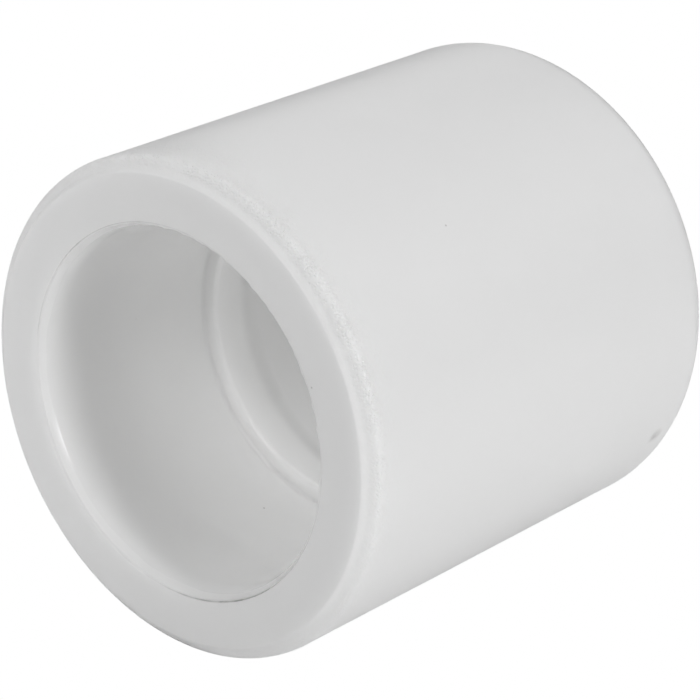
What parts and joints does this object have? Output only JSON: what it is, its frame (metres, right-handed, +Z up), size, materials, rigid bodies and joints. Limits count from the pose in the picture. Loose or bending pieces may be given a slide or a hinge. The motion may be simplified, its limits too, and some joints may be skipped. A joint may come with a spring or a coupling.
{
  "type": "pipe cap",
  "caption": "Plain round end cap for plastic pipe: thick wall, weld socket with a stop ring, blind pocket and closed flat end with a rounded edge.",
  "frame": {"origin": "on the surface that the cap lies on, under the middle of its length and its axis", "axes": "+Y along the cap's axis from the mouth to the closed end, so the pipe comes in from -Y; +Z up"},
  "size_m": [0.043, 0.045, 0.043],
  "materials": {
    "white_ppr": "satin, as moulded"
  },
  "bodies": {
    "root": {"cap_body": "white_ppr"}
  },
  "joints": []
}
